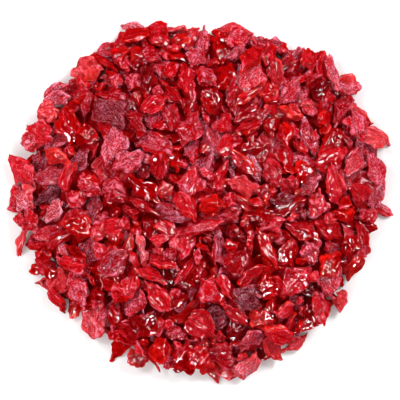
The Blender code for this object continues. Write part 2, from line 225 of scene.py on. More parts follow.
# Palettes, from the darkest bits to the palest: places from 0 to 1, and colours
DEEP_REDS = (
    (0.0, (0.12, 0.0008, 0.002)),
    (0.07, (0.30, 0.001, 0.002)),
    (0.5, (0.52, 0.001, 0.002)),
    (0.92, (0.58, 0.003, 0.003)),
    (1.0, (0.70, 0.026, 0.024)),
)
# a painted glow of light coming through wet flesh towards the rim
PAINTED_GLOWS = (
    (0.0, (0.16, 0.002, 0.003)),
    (0.15, (0.50, 0.004, 0.003)),
    (0.92, (0.74, 0.015, 0.008)),
    (1.0, (0.86, 0.070, 0.060)),
)
SATIN_REDS = (
    (0.0, (0.14, 0.001, 0.002)),
    (0.07, (0.34, 0.001, 0.003)),
    (0.5, (0.48, 0.001, 0.003)),
    (0.92, (0.54, 0.004, 0.010)),
    (1.0, (0.68, 0.045, 0.055)),
)
UNDER_DUST = (
    (0.0, (0.16, 0.008, 0.016)),
    (0.08, (0.28, 0.006, 0.014)),
    (0.6, (0.41, 0.006, 0.014)),
    (1.0, (0.49, 0.018, 0.030)),
)
# the dust's colours, also mixed in as a painted sheen on ridges and painted glints in specks
DUST_AND_SHEEN_COLOURS = (
    (0.0, (0.38, 0.13, 0.18)),
    (0.10, (0.50, 0.18, 0.25)),
    (0.30, (0.64, 0.19, 0.28)),
    (0.6, (0.70, 0.21, 0.31)),
    (0.92, (0.76, 0.30, 0.41)),
    (1.0, (0.86, 0.44, 0.53)),
)
# the middle's red, darkened as painted shade
MIDDLE_SHADED_REDS = ((0.35, (0.16, 0.001, 0.003)), (0.65, (0.42, 0.004, 0.007)))

# Patterns in the flesh: bumps to a millimetre, levels of finer bumps and how strong those are, and
# how far the pattern is drawn out along the bit, more for smaller values
PATCHES = {"scale": 0.50, "detail": 3.0, "roughness": 0.6}
GRAIN = {"scale": 2.1, "detail": 2.0, "roughness": 0.7}
FIBRES = {"scale": 0.85, "detail": 3.0, "roughness": 0.65, "stretch": 0.35}
VEINS = {"scale": 1.3, "detail": 2.0, "roughness": 0.6, "stretch": 0.18}
FILM_FOLDS = {"scale": 0.30, "detail": 1.0, "noise_type": "RIDGED_MULTIFRACTAL"}
FILM_CRINKLES = {"scale": 0.60, "detail": 0.0, "noise_type": "RIDGED_MULTIFRACTAL"}
MIDDLE_LUMPS = {"scale": 350.0, "detail": 3.0}  # bumps to a metre
NOISE_RANGE = (0.35, 0.65)  # where most of a noise's values lie
WHOLE = (0.0, 1.0)

# Where the flesh is dusty, satin or wet. Each bit has its own shade, and each spot its dryness.
SHADE_SWING = (-0.36, 0.36)
RIM_RANGE = (0.25, 0.80)
RIM_WETNESS = 0.28
GRAIN_SWING = (-0.05, 0.05)
DUST_EDGE = (0.88, 1.14)  # dust sets in between these, less the kind's dusty share
WET_EDGE = 0.10  # the wetness fades over this much, up to the kind's wet share

# Satin flesh, with a painted sheen on its ridges, and pale specks that are partly dust and partly
# painted glints
SATIN_LIT_RIDGES = (0.25, 0.9)
SATIN_RIDGE_SHEEN = 0.35
SPECKS = (0.56, 0.64)
SPECK_DUST_AND_GLINT = 0.25

# Wet flesh, with painted shade in its middle, darker along its fibres, and a painted glow of light
# coming through towards the rim
PAINTED_GLOW_RANGE = (0.25, 0.85)
PAINTED_GLOW_SHARE = 0.55
PAINTED_SHADES = (0.75, 1.1)
WET_STREAKS = (0.72, 1.18)

# Dusty flesh, with pale dots that are partly dust and partly painted glints, a painted sheen on its
# ridges, and bare veins
DUST_AND_GLINT_DOTS = (0.46, 0.60)
DUSTY_LIT_RIDGES = (0.2, 0.8)
RIDGE_SHEEN = 0.7
BARE_VEINS = (0.37, 0.48)
VEIN_BARENESS = 0.70
DUSTY_STREAKS = (0.72, 1.2)
DUSTY_PATCHES = (0.75, 1.2)

# Painted shade: all flesh is darker in its creases, and painted light makes it lighter on its ridges
CREASE_RANGE = (-0.5, 0.4)
CREASE_SHADE_TINTS = ((0.0, (0.65, 0.35, 0.38)), (1.0, (1.12, 1.12, 1.15)))

# How the flesh's surface takes the light: pairs run from bare to dusty flesh, reliefs in millimetres
ROUGHNESSES = (0.10, 0.42)
FIBRE_RELIEF = (0.03, 0.28)
GRAIN_RELIEF = (0.004, 0.06)
FLESH = {
    "Subsurface Weight": 0.85,
    "Subsurface Radius": (1.0, 0.12, 0.10),
    "Subsurface Scale": 1.4 * MM,
    "Specular IOR Level": 0.02,
}

# The sticky film on the flesh, which makes the highlights
FILM = {"Coat Roughness": 0.03, "Coat IOR": 1.6}
FILM_WEIGHTS = (0.32, 0.14)
WET_FILM_WEIGHT = 0.70
FILM_RELIEF = 0.30 * MM
CRINKLED = (0.45, 0.60)
CRINKLE_SHARE = 0.5

# The dark red middle, its colour partly painted shade deep in the gaps, and darker in the hollows
# between its lumps
MIDDLE = {"Roughness": 0.35, "Specular IOR Level": 0.0}
MIDDLE_RELIEF = 0.3 * MM

# The photograph's view
PHOTO_WIDTH = 128 * MM  # on the floor, from edge to edge of the picture
CAMERA_HEIGHT = 0.80
SENSOR_WIDTH = 36
HEAP_BELOW_CENTRE = 0.96 * MM  # the heap's middle lies this far below the picture's

# The studio
FLOOR_HALF = 2.0
FLOOR = {"Base Color": (0.94, 0.94, 0.94), "Roughness": 0.6}
WORLD_STRENGTH = 0.40
SOFTBOX_DISTANCE = 0.9


class Softbox(NamedTuple):
    """A square light that faces the heap."""

    name: str
    azimuth: float  # degrees from +X, anticlockwise from above
    elevation: float  # degrees
    size: float
    power: float  # watts
    mirrored: bool = True  # whether it shows in the film
    diffuse: bool = True  # whether it lights the flesh and the floor


SOFTBOXES = (
    Softbox("key", azimuth=40, elevation=52, size=0.28, power=5.6),
    Softbox("second_key", azimuth=150, elevation=56, size=0.18, power=3.0),
    Softbox("sparkle_a", azimuth=260, elevation=62, size=0.22, power=7.0, diffuse=False),
    Softbox("sparkle_b", azimuth=335, elevation=45, size=0.22, power=7.0, diffuse=False),
    Softbox("fill", azimuth=215, elevation=45, size=0.8, power=3.8, mirrored=False),
)


class Bit(NamedTuple):
    """A bit's shape, and where it lies."""

    kind: str
    half_sizes: np.ndarray
    normals: np.ndarray
    offsets: np.ndarray
    dents: np.ndarray  # one row each: a direction and a depth
    bow: float
    curl: float
    fold: float
    ruffle: tuple  # size, number of waves round the edge, where they start
    turn: np.ndarray  # rotation matrix
    place: np.ndarray


class FineBit(NamedTuple):
    """A bit's fine mesh, with what its flesh is painted by."""

    points: np.ndarray
    quads: np.ndarray
    sheet: np.ndarray  # the corners of each face on a sheet of three by two unit squares
    cells: int  # along each side of those squares
    rest: np.ndarray  # where each point is on the bit, in millimetres
    rim: np.ndarray  # from 0 on a bit's flat sides to 1 round its rim
    ridge: np.ndarray  # from -1 in a crease to 1 on a sharp edge
    tone: float  # from 0, the darkest bit, to 1, the palest
    shade: float  # from 0, the wettest bit, to 1, the driest


# The packing, the same as in the model's source


def outline_radius(angle):
    """How far the heap reaches at an angle round its middle, in radians."""
    across, deep = HEAP_WIDTH / 2, HEAP_DEPTH / 2
    radius = across * deep / np.hypot(deep * np.cos(angle), across * np.sin(angle))
    for middle, half_width, out in OUTLINE_LOBES:
        away = (np.degrees(angle) - middle + 180) % 360 - 180
        radius = radius + out * np.exp(-((away / half_width) ** 2))
    return radius


def dome_height(x, y):
    """The height that the heap's surface keeps to, over a point of the floor."""
    share = np.hypot(x, y) / outline_radius(np.arctan2(y, x))
    dome = DOME_HEIGHT * np.clip(1 - share**DOME_ROUNDNESS, 0, None) ** DOME_SHOULDER
    wave = np.sin(x / SHORT_WAVES[0] + 1.0) * np.sin(y / SHORT_WAVES[1] + 2.2)
    wave = wave + np.sin((x + y) / LONG_WAVE)
    return np.clip(dome + UNEVENNESS * wave * np.clip(1 - share, 0, 0.5), 0, None)


def grid_points():
    """The middles of the grid's cells, as two arrays."""
    along = (np.arange(2 * GRID_HALF) - GRID_HALF + 0.5) * CELL
    return np.meshgrid(along, along, indexing="ij")


def dome_grid(inset):
    """Over the grid: the dome's heights, how it falls, and which cells lie inside the outline."""
    x, y = grid_points()
    dome = dome_height(x, y)
    falls = -np.stack(np.gradient(smoothed(dome, SLOPE_SPAN), CELL), axis=-1)
    inside = np.hypot(x, y) < outline_radius(np.arctan2(y, x)) - inset
    return dome, falls, inside


def smoothed(heights, reach):
    """Each cell's mean over a square that reaches this many cells each way."""
    padded = np.pad(heights, reach + 1, mode="edge")[:-1, :-1]
    sums = padded.cumsum(0).cumsum(1)
    size = 2 * reach + 1
    total = sums[size:, size:] - sums[:-size, size:] - sums[size:, :-size] + sums[:-size, :-size]
    return total / size**2


def even_directions(count):
    """Unit vectors spread evenly over the sphere, along a spiral."""
    step = np.arange(count) + 0.5
    height = 1 - 2 * step / count
    around = step * math.pi * (3 - math.sqrt(5))
    flat = np.sqrt(1 - height**2)
    return np.stack([flat * np.cos(around), flat * np.sin(around), height], axis=1)


def cut_faces(kind, rng):
    """The facets of a bit: their unit normals, and their distances from its middle."""
    if kind in ("lump", "crumb"):
        normals = even_directions(LUMP_FACETS) + rng.normal(0, FACET_JITTER, (LUMP_FACETS, 3))
        offsets = rng.uniform(*FACET_REACH, LUMP_FACETS)
    else:
        azimuth = np.radians(np.array(TIP_AZIMUTHS) + rng.normal(0, SIDE_JITTER, len(TIP_AZIMUTHS)))
        rise = rng.normal(0, SIDE_LEAN, len(TIP_AZIMUTHS))
        sides = np.stack([np.cos(azimuth), np.sin(azimuth), rise], axis=1)
        flats = np.array([[0, 0, 1], [0, 0, -1.0]]) + rng.normal(0, FLAT_LEAN, (2, 3))
        normals = np.concatenate([sides, flats])
        offsets = rng.uniform(*CUT_REACH, len(normals))
    return normals / np.linalg.norm(normals, axis=1)[:, None], offsets


def bent(points, axis, angle, length):
    """Points bent into an arc along an axis, so that this length turns through this angle."""
    if abs(angle) < 1e-3:
        return points
    radius = length / angle
    turned = points[:, axis] / radius
    out = points.copy()
    out[:, axis] = (radius + points[:, 2]) * np.sin(turned)
    out[:, 2] = (radius + points[:, 2]) * np.cos(turned) - radius
    return out


def flat_points(bit, directions, rounding):
    """Where a bit's surface lies in these directions, in half sizes, before it is ruffled and bent."""
    nearness = np.clip(directions @ (bit.normals / bit.offsets[:, None]).T, 0, None)
    reach = np.minimum((nearness**rounding).sum(axis=1) ** (-1 / rounding), LONGEST_REACH)
    for dent in bit.dents:
        reach = reach * (1 - dent[3] * np.exp(DENT_FOCUS * (directions @ dent[:3] - 1)))
    return directions * reach[:, None]


def surface_points(bit, directions, rounding=ROUNDING):
    """Where a bit's surface lies in these directions from its middle, before it is placed."""
    unit = flat_points(bit, directions, rounding)
    size, waves, start = bit.ruffle
    edge_wave = size * np.sin(waves * np.arctan2(unit[:, 1], unit[:, 0]) + start)
    lift = edge_wave * (unit[:, 0] ** 2 + unit[:, 1] ** 2) + bit.fold * np.abs(unit[:, 1])
    points = unit * bit.half_sizes
    points[:, 2] += lift * bit.half_sizes[1]
    points = bent(points, 0, bit.bow, 2 * bit.half_sizes[0])
    points = bent(points, 1, bit.curl, 2 * bit.half_sizes[1])
    return points - points.mean(axis=0)


def turned_by(yaw, pitch, roll):
    """The rotation matrix of a roll about X, then a pitch about Y, then a yaw about Z."""
    cy, sy = math.cos(yaw), math.sin(yaw)
    cp, sp = math.cos(pitch), math.sin(pitch)
    cr, sr = math.cos(roll), math.sin(roll)
    about_z = np.array([[cy, -sy, 0], [sy, cy, 0], [0, 0, 1]])
    about_y = np.array([[cp, 0, sp], [0, 1, 0], [-sp, 0, cp]])
    about_x = np.array([[1, 0, 0], [0, cr, -sr], [0, sr, cr]])
    return about_z @ about_y @ about_x


def new_bit(rng, shares):
    """One bit of a random kind, size and shape, not yet placed."""
    kind = list(KINDS)[int(np.searchsorted(np.cumsum(shares), rng.random()))]
    sizes = KINDS[kind]
    length = rng.uniform(*sizes["length"]) * MM
    width = length * rng.uniform(*sizes["width"])
    thickness = width * rng.uniform(*sizes["thickness"])
    normals, offsets = cut_faces(kind, rng)
    dents = rng.normal(0, 1, (DENTS, 3))
    dents = dents / np.linalg.norm(dents, axis=1)[:, None]
    depths = sizes["dent"] * rng.uniform(LEAST_OF_MOST, 1.0, (DENTS, 1))
    side_up = rng.choice([-1.0, 1.0])
    waves = int(rng.integers(RUFFLE_WAVES[0], RUFFLE_WAVES[1] + 1))
    return Bit(
        kind=kind,
        half_sizes=np.array([length, width, thickness]) / 2,
        normals=normals,
        offsets=offsets,
        dents=np.concatenate([dents, depths], axis=1),
        bow=rng.uniform(*sizes["bow"]),
        curl=side_up * rng.uniform(*sizes["curl"]),
        fold=rng.uniform(-1, 1) * sizes["fold"],
        ruffle=(rng.uniform(LEAST_OF_MOST, 1) * sizes["ruffle"], waves, rng.uniform(0, 2 * math.pi)),
        turn=np.eye(3),
        place=np.zeros(3),
    )


def footprint(points):
    """A bit's lowest and highest point over each cell of a square around its middle."""
    cells = np.floor(points[:, :2] / CELL).astype(int) + REACH
    cells = np.clip(cells, 0, 2 * REACH - 1)
    low = np.full((2 * REACH, 2 * REACH), np.inf)
    high = np.full((2 * REACH, 2 * REACH), -np.inf)
    np.minimum.at(low, (cells[:, 0], cells[:, 1]), points[:, 2])
    np.maximum.at(high, (cells[:, 0], cells[:, 1]), points[:, 2])
    return low, high


def settle(bit, spot, heights, slope, rng, directions):
    """The bit at the lowest of several turns and nudges near a spot, with its footprint there."""
    shape = surface_points(bit, directions)
    downhill = math.atan2(slope[1], slope[0])
    lean = turned_by(downhill, math.atan(math.hypot(*slope)), 0) @ turned_by(-downhill, 0, 0)
    best = None
    for _ in range(TURNS_TRIED):
        yaw = rng.uniform(0, 2 * math.pi)
        tilt = np.radians(rng.normal(0, TILT_SPREAD, 2))
        turn = lean @ turned_by(yaw, tilt[0], tilt[1])
        luck = rng.uniform(0, RESTLESSNESS)
        low, high = footprint(shape @ turn.T)
        for east in range(-NUDGE, NUDGE + 1):
            for north in range(-NUDGE, NUDGE + 1):
                i, j = spot[0] + east - REACH, spot[1] + north - REACH
                window = heights[i : i + 2 * REACH, j : j + 2 * REACH]
                rest = round(float((window - low).max()) - SINK, 6)
                if best is None or rest + luck < best[0]:
                    best = (rest + luck, rest, (i, j), high, turn)
    _, rest, (i, j), high, turn = best
    place = np.array([(i + REACH - GRID_HALF) * CELL, (j + REACH - GRID_HALF) * CELL, rest])
    return bit._replace(turn=turn, place=place), (i, j), high + rest


def deepest_spot(missing, spots, tries, rng):
    """Of several random spots, the cell where the most is missing."""
    tried = spots[rng.integers(0, len(spots), tries)]
    return tried[np.argmax(np.round(missing[tried[:, 0], tried[:, 1]], 6))]


def lay(bit, corner, top, bits, heights, owner):
    """Adds a bit that has come to rest, and raises the heap where the bit lies uppermost."""
    window = (slice(corner[0], corner[0] + 2 * REACH), slice(corner[1], corner[1] + 2 * REACH))
    above = top > heights[window]
    owner[window][above] = len(bits)
    heights[window][above] = top[above]
    bits.append(bit)


def fill_heap():
    """Drops bits until the heap is full. Returns them, the heights and each cell's topmost bit."""
    rng = np.random.default_rng(SEED)
    dome, falls, inside = dome_grid(RIM_INSET)
    heights = np.clip(dome - SHELL_DEPTH, 0, None)
    owner = np.full(heights.shape, -1)
    directions = even_directions(PROBES)
    shares = np.array([kind["share"] for kind in KINDS.values()])
    spots = np.argwhere(inside)
    bits = []
    while len(bits) < MOST_BITS:
        missing = smoothed(np.round(dome - heights, 6), GAP_SPAN)
        spot = deepest_spot(missing, spots, SPOTS_TRIED, rng)
        if (missing[inside] < FULL_ENOUGH).mean() > FULL_SHARE:
            break
        slope = falls[spot[0], spot[1]]
        bit, corner, top = settle(new_bit(rng, shares), spot, heights, slope, rng, directions)
        lay(bit, corner, top, bits, heights, owner)
    return bits, heights, owner


def read_height(heights, x, y):
    """The heights of a grid at points of the floor, between its cells' middles."""
    i = np.clip(x / CELL + GRID_HALF - 0.5, 0, 2 * GRID_HALF - 1.001)
    j = np.clip(y / CELL + GRID_HALF - 0.5, 0, 2 * GRID_HALF - 1.001)
    i0, j0 = i.astype(int), j.astype(int)
    fi, fj = i - i0, j - j0
    near = heights[i0, j0] * (1 - fj) + heights[i0, j0 + 1] * fj
    far = heights[i0 + 1, j0] * (1 - fj) + heights[i0 + 1, j0 + 1] * fj
    return near * (1 - fi) + far * fi


# The bits that only the looks have


def only(wanted):
    """The kinds' shares for drawing bits of one kind alone."""
    return np.array([float(kind == wanted) for kind in KINDS])


def fill_gaps(bits, heights, owner, kind, count, span, seed):
    """Drops more bits of one kind into the deepest gaps, measured over this many cells each way."""
    rng = np.random.default_rng(seed)
    dome, falls, inside = dome_grid(GAP_INSET)
    directions = even_directions(PROBES)
    spots = np.argwhere(inside)
    for _ in range(count):
        missing = smoothed(np.round(dome - heights, 6), span)
        spot = deepest_spot(missing, spots, GAP_SPOTS_TRIED, rng)
        slope = falls[spot[0], spot[1]]
        bit, corner, top = settle(new_bit(rng, only(kind)), spot, heights, slope, rng, directions)
        if top.max() <= GAP_TOP:
            lay(bit, corner, top, bits, heights, owner)


def fill_foot(bits):
    """Lays crumbs under the heap's rim."""
    rng = np.random.default_rng(FOOT_SEED)
    directions = even_directions(PROBES)
    for count, inset, height in FOOT_ROWS:
        for step in range(count):
            angle = 2 * math.pi * (step + rng.uniform(0, FOOT_JITTER)) / count
            radius = outline_radius(angle) - inset + rng.uniform(-1, 1) * FOOT_SCATTER
            bit = new_bit(rng, only("crumb"))
            turn = turned_by(*rng.uniform(-math.pi, math.pi, 3))
            low = (surface_points(bit, directions) @ turn.T)[:, 2].min()
            place = np.array([radius * math.cos(angle), radius * math.sin(angle), height - low])
            bits.append(bit._replace(turn=turn, place=place))


def all_bits():
    """Every bit, how many cells of each show from above, and the heights before the gaps are filled."""
    bits, heights, owner = fill_heap()
    unfilled = heights.copy()
    for kind, count, span, seed in GAP_FILLS:
        fill_gaps(bits, heights, owner, kind, count, span, seed)
    shown = np.bincount(owner[owner >= 0], minlength=len(bits))
    fill_foot(bits)
    shown = np.pad(shown, (0, len(bits) - len(shown)), constant_values=FOOT_SHOWN)
    return bits, shown, unfilled


# Fine surfaces

noise_rng = np.random.default_rng(NOISE_SEED)
SHUFFLED = noise_rng.permutation(NOISE_TABLE)
SLOPES = noise_rng.normal(0, 1, (NOISE_TABLE, 3))


def noise_at(points):
    """Smooth noise, mostly between -1 and 1, whose bumps are about one unit across."""
    cell = np.floor(points).astype(int)
    inside = points - cell
    ease = inside**3 * (inside * (inside * 6 - 15) + 10)
    total = np.zeros(len(points))
    for corner in np.ndindex(2, 2, 2):
        mixed = 0
        for axis in range(3):
            mixed = SHUFFLED[(mixed + cell[:, axis] + corner[axis]) % NOISE_TABLE]
        weight = np.where(corner, ease, 1 - ease).prod(axis=1)
        total += weight * ((inside - corner) * SLOPES[mixed]).sum(axis=1)
    return total


def cube_sphere(cells):
    """A sphere of six square grids: unit vectors, faces of four, and the faces' places on a sheet.

    On the sheet the six grids lie side by side, three across and two up, each one unit wide.
    """
    step = np.arange(cells + 1)
    first, second = np.meshgrid(step, step, indexing="ij")
    sides, sheet = [], []
    for axis in range(3):
        for end in (0, 1):
            side = np.empty((cells + 1, cells + 1, 3), int)
            side[..., axis] = end * cells
            side[..., (axis + 1 + (end == 0)) % 3] = first
            side[..., (axis + 2 - (end == 0)) % 3] = second
            sides.append(side)
            sheet.append(np.stack([axis + first / cells, end + second / cells], axis=-1))
    corners, index = np.unique(np.reshape(sides, (-1, 3)), axis=0, return_inverse=True)
    index = index.reshape(6, cells + 1, cells + 1)
    sheet = np.array(sheet)
    near, far = slice(None, -1), slice(1, None)
    round_cell = ((near, near), (far, near), (far, far), (near, far))
    quads = np.stack([index[:, i, j] for i, j in round_cell], axis=-1).reshape(-1, 4)
    sheet = np.stack([sheet[:, i, j] for i, j in round_cell], axis=-2).reshape(-1, 4, 2)
    spread = np.tan((2 * corners / cells - 1) * math.pi / 4)
    return spread / np.linalg.norm(spread, axis=1)[:, None], quads, sheet


def point_normals(points, quads):
    """Unit normals at the points of a closed mesh."""
    a, b, c, d = (points[quads[:, k]] for k in range(4))
    facing = np.cross(c - a, d - b)
    total = [np.bincount(quads.ravel(), np.repeat(facing[:, k], 4)) for k in range(3)]
    total = np.stack(total, axis=1)
    return total / np.linalg.norm(total, axis=1)[:, None]


def ridges(points, quads):
    """How sharply a mesh juts out at each point, from -1 in a crease to 1 on an edge."""
    normals = point_normals(points, quads)
    total, count = np.zeros_like(points), np.zeros(len(points))
    for here, there in ((0, 1), (1, 2), (2, 3), (3, 0)):
        for a, b in ((here, there), (there, here)):
            for k in range(3):
                total[:, k] += np.bincount(quads[:, a], points[quads[:, b], k], len(points))
            count += np.bincount(quads[:, a], minlength=len(points))
    step = points - total / count[:, None]
    spacing = np.linalg.norm(points.max(axis=0) - points.min(axis=0)) / math.sqrt(len(points))
    return np.clip((step * normals).sum(axis=1) / spacing * RIDGE_GAIN, -1, 1)


def tapered(points, bit, lean):
    """Points of a bit made narrower towards its ends, more at one end than at the other."""
    along = np.clip(points[:, 0] / bit.half_sizes[0], -TAPER_REACH, TAPER_REACH)
    out = points * (STRETCH, 1, 1)
    out[:, 1] *= 1 + FINISHES[bit.kind].taper * (TAPER_BULGE - along**2 + lean * along)
    return out


def wrinkled(bit, directions, quads, offset):
    """A bit's fine surface where it lies, and each point's place on the bit, rim and ridge."""
    finish = FINISHES[bit.kind]
    rest = flat_points(bit, directions, FINE_ROUNDING) * bit.half_sizes / MM + offset
    lean = TAPER_LEAN * math.sin(offset[0])
    smooth = tapered(surface_points(bit, directions, FINE_ROUNDING), bit, lean)
    warp = np.stack([noise_at(rest / WARP_SPAN + shift) for shift in WARP_SHIFTS], axis=1)
    smooth += warp * finish.warp * MM
    normals = point_normals(smooth, quads)
    rim = 1 - np.abs(normals[:, 2])
    drawn_out = rest * (finish.fold_stretch, 1, 1) / FOLD_SPAN
    folds = np.abs(noise_at(drawn_out)) + SMALL_FOLDS * np.abs(noise_at(2 * drawn_out))
    veins = 1 - np.abs(noise_at(rest * (VEIN_STRETCH, 1, 1) / VEIN_SPAN))
    notches = noise_at(rest / NOTCH_SPAN) * rim
    height = finish.folds * (folds - FOLD_LEVEL) + finish.veins * (veins - VEIN_LEVEL)
    height += finish.notches * notches
    points = smooth + normals * (height * MM)[:, None]
    ridge = ridges(points, quads)
    points = points @ bit.turn.T + bit.place
    points[:, 2] = np.maximum(points[:, 2], FLOOR_GAP)
    return points, rest, rim, ridge


# The pieces


def mesh_spacing(cells_shown):
    """How far apart a bit's points are, by how many cells of it show from above."""
    if cells_shown >= FINE_SHOWN:
        return FINE_MESH
    return COARSE_MESH if cells_shown else HIDDEN_MESH


def rim_closeness(bit):
    """How close a bit lies to the heap's rim, from 0 to 1."""
    east, north, _ = bit.place
    inset = outline_radius(math.atan2(north, east)) - math.hypot(east, north)
    return np.clip((RIM_DEPTH - inset) / (RIM_DEPTH - RIM_INSET), 0, 1)


def fine_bit(bit, cells_shown, rng):
    """A bit's fine mesh, its colour and how dry it is."""
    spacing = mesh_spacing(cells_shown)
    cells = max(FEWEST_CELLS, round((bit.half_sizes[0] + bit.half_sizes[1]) / spacing))
    directions, quads, sheet = cube_sphere(cells)
    offset = rng.uniform(-NOISE_FIELD, NOISE_FIELD, 3)
    points, rest, rim, ridge = wrinkled(bit, directions, quads, offset)
    points[:, :2] += HEAP_SHIFT
    # painted light: near the heap's rim the tone is made paler, for light coming through the bits
    tone = 1 - (1 - rng.random()) * (1 - RIM_PALENESS * rim_closeness(bit))
    return FineBit(points, quads, sheet, cells, rest, rim, ridge, tone, shade=rng.random())


def packed_sheet(fine_bits):
    """The places of all the bits' faces on one sheet: rows of blocks, each as large as its mesh."""
    order = sorted(range(len(fine_bits)), key=lambda n: -fine_bits[n].cells)
    width = math.sqrt(sum(6 * bit.cells**2 for bit in fine_bits)) * SHEET_SPARE
    places = [None] * len(fine_bits)
    x = y = row = 0
    for n in order:
        cells = fine_bits[n].cells
        if x + 3 * cells > width:
            x, y, row = 0, y + row, 0
        row = row or 2 * cells  # the first block is the tallest
        sheet = fine_bits[n].sheet
        squares = np.floor(sheet.mean(axis=1, keepdims=True))
        inside = squares + SHEET_MARGIN + (sheet - squares) * (1 - 2 * SHEET_MARGIN)
        places[n] = (inside * cells + (x, y)) / width
        x += 3 * cells
    return np.concatenate(places) / max(1, (y + row) / width)


def linked(name, mesh, material):
    """A smooth object of a mesh, in the scene."""
    mesh.polygons.foreach_set("use_smooth", np.ones(len(mesh.polygons), bool))
    mesh.materials.append(material)
    made = bpy.data.objects.new(name, mesh)
    bpy.context.scene.collection.objects.link(made)
    return made


def bits_piece(name, fine_bits, material):
    """One object of many bits, which carries what the flesh is painted by."""
    counts = [len(bit.points) for bit in fine_bits]
    starts = np.cumsum([0] + counts[:-1])
    points = np.concatenate([bit.points for bit in fine_bits])
    quads = np.concatenate([bit.quads + start for bit, start in zip(fine_bits, starts)])
    mesh = bpy.data.meshes.new(name)
    mesh.vertices.add(len(points))
    mesh.vertices.foreach_set("co", points.astype(np.float32).ravel())
    mesh.loops.add(quads.size)
    mesh.loops.foreach_set("vertex_index", quads.astype(np.int32).ravel())
    mesh.polygons.add(len(quads))
    mesh.polygons.foreach_set("loop_start", np.arange(0, quads.size, 4, dtype=np.int32))
    mesh.update()
    painted_by = {
        "tone": np.repeat([bit.tone for bit in fine_bits], counts),
        "shade": np.repeat([bit.shade for bit in fine_bits], counts),
        "rim": np.concatenate([bit.rim for bit in fine_bits]),
        "ridge": np.concatenate([bit.ridge for bit in fine_bits]),
    }
    for key, values in painted_by.items():
        layer = mesh.attributes.new(key, "FLOAT", "POINT")
        layer.data.foreach_set("value", values.astype(np.float32))
    rest = np.concatenate([bit.rest for bit in fine_bits])
    layer = mesh.attributes.new("rest", "FLOAT_VECTOR", "POINT")
    layer.data.foreach_set("vector", rest.astype(np.float32).ravel())
    layer = mesh.uv_layers.new(name="OFBake")
    layer.uv.foreach_set("vector", packed_sheet(fine_bits).astype(np.float32).ravel())
    return linked(name, mesh, material)


def kind_pieces(kind, bits, shown, rng):
    """The pieces that hold all the bits of one kind."""
    finish = FINISHES[kind]
    material = flesh(finish)
    mine = [n for n, bit in enumerate(bits) if bit.kind == kind]
    pieces = []
    for number in range(finish.split):
        fine_bits = [fine_bit(bits[n], shown[n], rng) for n in mine[number :: finish.split]]
        name = finish.piece + ("_more" if number else "")
        pieces.append(bits_piece(name, fine_bits, material))
    return pieces


def middle_points(heights):
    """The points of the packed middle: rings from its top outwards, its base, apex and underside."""
    top = smoothed(heights, MIDDLE_SMOOTHING) - MIDDLE_SINK
    around = np.arange(MIDDLE_SEGMENTS) / MIDDLE_SEGMENTS * 2 * math.pi
    share = (np.arange(MIDDLE_RINGS) + 1) / MIDDLE_RINGS
    radius = share[:, None] * (outline_radius(around) - MIDDLE_INSET)
    x = (radius * np.cos(around)).ravel()
    y = (radius * np.sin(around)).ravel()
    points = np.stack([x, y, read_height(top, x, y)], axis=1)
    bumps = np.abs(noise_at(points / MM / MIDDLE_BUMP_SPAN)) - MIDDLE_BUMP_LEVEL
    points[:, 2] = np.maximum(points[:, 2] + MIDDLE_BUMPS * bumps, MIDDLE_LOWEST)
    base = points[-MIDDLE_SEGMENTS:] * (1, 1, 0) + (0, 0, FLOOR_GAP)
    apex_height = read_height(top, np.zeros(1), np.zeros(1))[0]
    points = np.concatenate([points, base, [[0, 0, apex_height], [0, 0, FLOOR_GAP]]])
    points[:, :2] += HEAP_SHIFT
    return points


def middle_piece(heights):
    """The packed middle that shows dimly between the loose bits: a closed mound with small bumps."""
    points = middle_points(heights)
    apex, underside = len(points) - 2, len(points) - 1
    base = MIDDLE_RINGS * MIDDLE_SEGMENTS
    faces = []
    for k in range(MIDDLE_SEGMENTS):
        following = (k + 1) % MIDDLE_SEGMENTS
        faces.append((apex, k, following))
        for start in range(0, base, MIDDLE_SEGMENTS):
            end = start + MIDDLE_SEGMENTS
            faces.append((start + k, end + k, end + following, start + following))
        faces.append((underside, base + following, base + k))
    mesh = bpy.data.meshes.new("packed_middle")
    mesh.from_pydata(points.tolist(), [], faces)
    return linked("packed_middle", mesh, middle_material())


def heap_pieces():
    """All the pieces, which take the place of the plain heap."""
    bits, shown, unfilled = all_bits()
    rng = np.random.default_rng(FINISH_SEED)
    pieces = []
    for kind in FINISHES:
        pieces += kind_pieces(kind, bits, shown, rng)
    pieces.append(middle_piece(unfilled))
    return pieces


# Materials

Socket = bpy.types.NodeSocket


